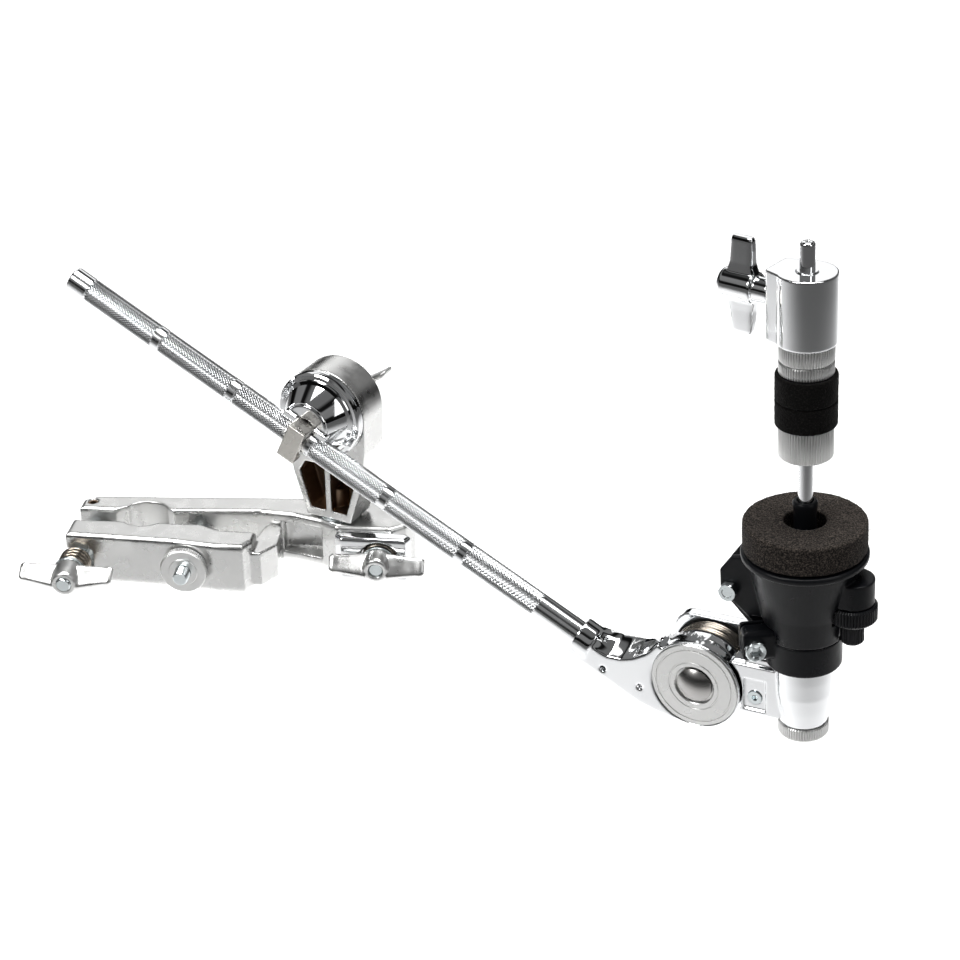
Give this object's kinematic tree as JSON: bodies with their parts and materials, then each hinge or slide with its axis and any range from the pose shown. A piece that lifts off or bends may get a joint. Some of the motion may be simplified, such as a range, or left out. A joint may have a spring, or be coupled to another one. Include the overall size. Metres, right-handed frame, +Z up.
{
  "type": "closed hi-hat boom attachment",
  "caption": "Clamp-on cymbal boom: two-jaw stand clamp, swivel post, conical boom clamp, knurled tube, tilter and a short hi-hat rod with seat, felt and clutch.",
  "frame": {"origin": "on the axis of the clamped stand tube, at the middle of the jaws' height", "axes": "+Z up the clamped tube; +X the boom's horizontal direction, from its free end to the tilter; +Y the tilter axis, from its front disc to its nut"},
  "size_m": [0.4348, 0.1422, 0.2541],
  "materials": {
    "cast_alloy": "tumbled cast, satin",
    "polished_chrome": "polished",
    "satin_nut": "satin, knurled",
    "knurled_boom": "chrome over diamond knurling",
    "nickel_strap": "satin nickel",
    "zinc_bolt": "bright zinc",
    "spring_steel": "oiled spring steel",
    "black_plastic": "moulded, satin",
    "black_rubber": "matt",
    "seat_felt": "pressed wool felt, charcoal brown",
    "clutch_felt": "pressed wool felt, black"
  },
  "bodies": {
    "stand_clamp": {"rear_jaw": "cast_alloy", "swing_bolt_pin": "zinc_bolt", "fulcrum_stud": "zinc_bolt", "short_jaw_bolt": "zinc_bolt"},
    "swing_bolt": {"swing_bolt": "zinc_bolt"},
    "left_washer": {"left_clamp_washer": "zinc_bolt", "left_clamp_spring": "spring_steel"},
    "left_wing_nut": {"left_wing_nut": "cast_alloy"},
    "front_jaw": {"front_jaw": "cast_alloy"},
    "thumb_nut": {"fulcrum_thumb_nut": "satin_nut"},
    "short_jaw": {"short_jaw": "polished_chrome"},
    "right_washer": {"right_clamp_washer": "zinc_bolt", "right_clamp_spring": "spring_steel"},
    "right_wing_nut": {"right_wing_nut": "cast_alloy"},
    "post": {"post": "cast_alloy", "post_bolt": "zinc_bolt", "swivel_washer": "zinc_bolt"},
    "boom_clamp": {"boom_clamp_cone": "polished_chrome", "friction_ring": "black_rubber", "hook_bolt": "nickel_strap", "rear_washer": "zinc_bolt"},
    "rear_wing_nut": {"rear_wing_nut": "cast_alloy"},
    "boom": {"boom_tube": "knurled_boom", "boom_end_plug": "polished_chrome", "tilter_arm": "polished_chrome", "socket_pin": "zinc_bolt", "tilter_disc": "polished_chrome", "tilter_bolt": "polished_chrome"},
    "tilter": {"tilter_bracket": "polished_chrome", "brake_ring": "black_rubber", "tilter_spring": "spring_steel", "bracket_set_screw": "zinc_bolt", "hihat_rod": "polished_chrome", "seat_collar": "black_plastic", "seat_clamp_screw": "zinc_bolt", "cymbal_sleeve": "black_plastic"},
    "tilter_nut": {"tilter_nut": "zinc_bolt"},
    "bottom_knob": {"bottom_knob": "satin_nut"},
    "seat": {"seat_cup": "black_plastic", "seat_pivot_bolt": "zinc_bolt", "seat_pivot_nut": "zinc_bolt", "seat_adjust_screw": "black_plastic", "seat_felt": "seat_felt"},
    "seat_thumb_nut": {"seat_thumb_nut": "black_plastic"},
    "clutch": {"clutch_body": "polished_chrome", "clutch_tube": "polished_chrome", "clutch_lower_felt": "clutch_felt", "clutch_upper_felt": "clutch_felt"},
    "clutch_wing_screw": {"clutch_wing_screw": "polished_chrome"},
    "clutch_bottom_nut": {"clutch_bottom_nut": "satin_nut"},
    "clutch_upper_nut": {"clutch_upper_nut": "satin_nut"},
    "clutch_lock_nut": {"clutch_lock_nut": "satin_nut"}
  },
  "joints": [
    {"name": "left_nut_turn", "type": "hinge", "parent": "left_washer", "child": "left_wing_nut", "pos_m": [-0.01225, -0.05291, 0], "axis": [-0.3584, 0.9336, 0], "range_deg": [0, 2460]},
    {"name": "left_nut_travel", "type": "slide", "parent": "swing_bolt", "child": "left_washer", "axis": [-0.3584, 0.9336, 0], "range_m": [0, 0.00854]},
    {"name": "front_jaw_swing", "type": "hinge", "parent": "stand_clamp", "child": "front_jaw", "pos_m": [0.06221, 0.02629, 0], "axis": [0, 0, 1], "range_deg": [-5, 0]},
    {"name": "swing_bolt_pivot", "type": "hinge", "parent": "stand_clamp", "child": "swing_bolt", "pos_m": [-0.03207, -0.00128, 0], "axis": [0, 0, 1], "range_deg": [-60, 0]},
    {"name": "thumb_nut_turn", "type": "hinge", "parent": "stand_clamp", "child": "thumb_nut", "pos_m": [0.03678, -0.01909, 0], "axis": [-0.3584, 0.9336, 0], "continuous": true},
    {"name": "right_nut_turn", "type": "hinge", "parent": "right_washer", "child": "right_wing_nut", "pos_m": [0.12362, 0.02817, 0], "axis": [-0.3584, 0.9336, 0], "range_deg": [-720.1, 0]},
    {"name": "right_nut_travel", "type": "slide", "parent": "stand_clamp", "child": "right_washer", "axis": [-0.3584, 0.9336, 0], "range_m": [-0.0025, 0]},
    {"name": "short_jaw_slide", "type": "slide", "parent": "stand_clamp", "child": "short_jaw", "axis": [-0.3584, 0.9336, 0], "range_m": [-0.0025, 0]},
    {"name": "post_swivel", "type": "hinge", "parent": "stand_clamp", "child": "post", "pos_m": [0.0905, 0.0475, 0.0152], "axis": [0, 0, 1], "range_deg": [-90, 90]},
    {"name": "boom_clamp_turn", "type": "hinge", "parent": "post", "child": "boom_clamp", "pos_m": [0.0905, 0.0369, 0.0772], "axis": [0, 1, 0], "range_deg": [-45, 20]},
    {"name": "rear_nut_turn", "type": "hinge", "parent": "boom_clamp", "child": "rear_wing_nut", "pos_m": [0.0905, 0.065, 0.0772], "axis": [0, 1, 0], "continuous": true},
    {"name": "boom_slide", "type": "slide", "parent": "boom_clamp", "child": "boom", "axis": [0.9085, 0, -0.4179], "range_m": [-0.15, 0.115]},
    {"name": "tilter_hinge", "type": "hinge", "parent": "boom", "child": "tilter", "pos_m": [0.30763, 0.0187, -0.00759], "axis": [0, 1, 0], "range_deg": [-45, 80]},
    {"name": "tilter_nut_turn", "type": "hinge", "parent": "boom", "child": "tilter_nut", "pos_m": [0.30763, 0.0407, -0.00759], "axis": [0, 1, 0], "continuous": true},
    {"name": "bottom_knob_turn", "type": "hinge", "parent": "tilter", "child": "bottom_knob", "pos_m": [0.35897, 0.0233, -0.02091], "axis": [-0.0506, 0, 0.9987], "continuous": true},
    {"name": "seat_tilt", "type": "hinge", "parent": "tilter", "child": "seat", "pos_m": [0.32195, 0.0233, 0.0478], "axis": [0, -1, 0], "range_deg": [0, 4]},
    {"name": "seat_nut_turn", "type": "hinge", "parent": "seat", "child": "seat_thumb_nut", "pos_m": [0.3788, 0.0233, 0.04818], "axis": [-0.0506, 0, 0.9987], "continuous": true},
    {"name": "clutch_slide", "type": "slide", "parent": "tilter", "child": "clutch", "axis": [-0.0506, 0, 0.9987], "range_m": [-0.0225, 0.01]},
    {"name": "clutch_screw_turn", "type": "hinge", "parent": "clutch", "child": "clutch_wing_screw", "pos_m": [0.31869, 0.02954, 0.19433], "axis": [-0.9769, 0.2079, -0.0495], "continuous": true},
    {"name": "clutch_bottom_nut_turn", "type": "hinge", "parent": "clutch", "child": "clutch_bottom_nut", "pos_m": [0.35129, 0.0233, 0.1309], "axis": [-0.0506, 0, 0.9987], "continuous": true},
    {"name": "clutch_upper_nut_turn", "type": "hinge", "parent": "clutch", "child": "clutch_upper_nut", "pos_m": [0.34936, 0.0233, 0.16885], "axis": [-0.0506, 0, 0.9987], "continuous": true},
    {"name": "clutch_lock_nut_turn", "type": "hinge", "parent": "clutch", "child": "clutch_lock_nut", "pos_m": [0.34896, 0.0233, 0.17684], "axis": [-0.0506, 0, 0.9987], "continuous": true}
  ],
  "couplings": [
    {"joint": "left_nut_turn", "follows": "left_nut_travel", "rad_per_m": 5026.5},
    {"joint": "front_jaw_swing", "follows": "left_nut_travel", "rad_per_m": -10.219},
    {"joint": "right_nut_turn", "follows": "right_nut_travel", "rad_per_m": 5026.5},
    {"joint": "short_jaw_slide", "follows": "right_nut_travel", "ratio": 1}
  ]
}
